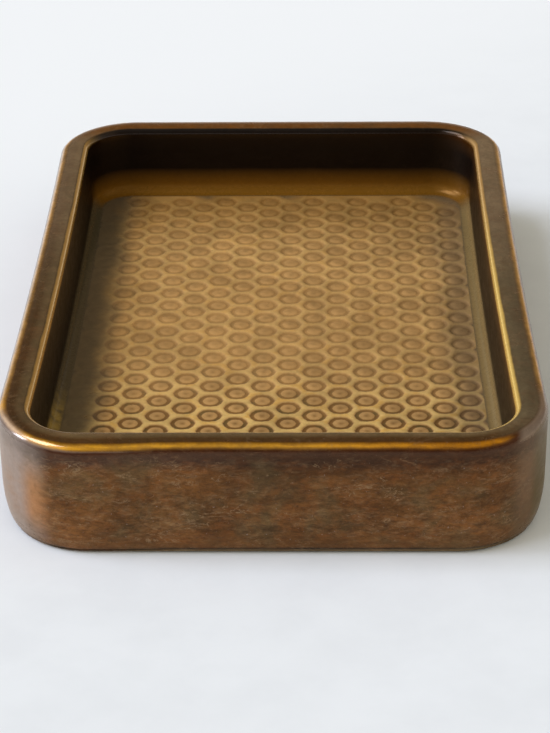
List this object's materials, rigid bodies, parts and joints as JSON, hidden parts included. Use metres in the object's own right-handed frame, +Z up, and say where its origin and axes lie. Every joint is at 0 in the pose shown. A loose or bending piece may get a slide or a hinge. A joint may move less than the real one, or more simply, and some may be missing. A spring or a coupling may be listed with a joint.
{
  "type": "soap dish",
  "caption": "Rectangular stoneware soap dish with rounded corners, a raised honeycomb floor and bronze glaze, on rubber pads.",
  "frame": {"origin": "centre of the dish on the surface it stands on, at the underside of the pads", "axes": "+Y along the long sides, away from the short side that faces the picture's camera; +Z up out of the open tray; +X to the right"},
  "size_m": [0.0896, 0.134, 0.0208],
  "materials": {
    "bronze_glaze": "glossy reactive glaze on stoneware, mottled brown, tan where thin on raised edges",
    "grey_rubber": "matte"
  },
  "bodies": {
    "root": {"tray": "bronze_glaze", "pad_front_left": "grey_rubber", "pad_front_right": "grey_rubber", "pad_back_left": "grey_rubber", "pad_back_right": "grey_rubber"}
  },
  "joints": []
}
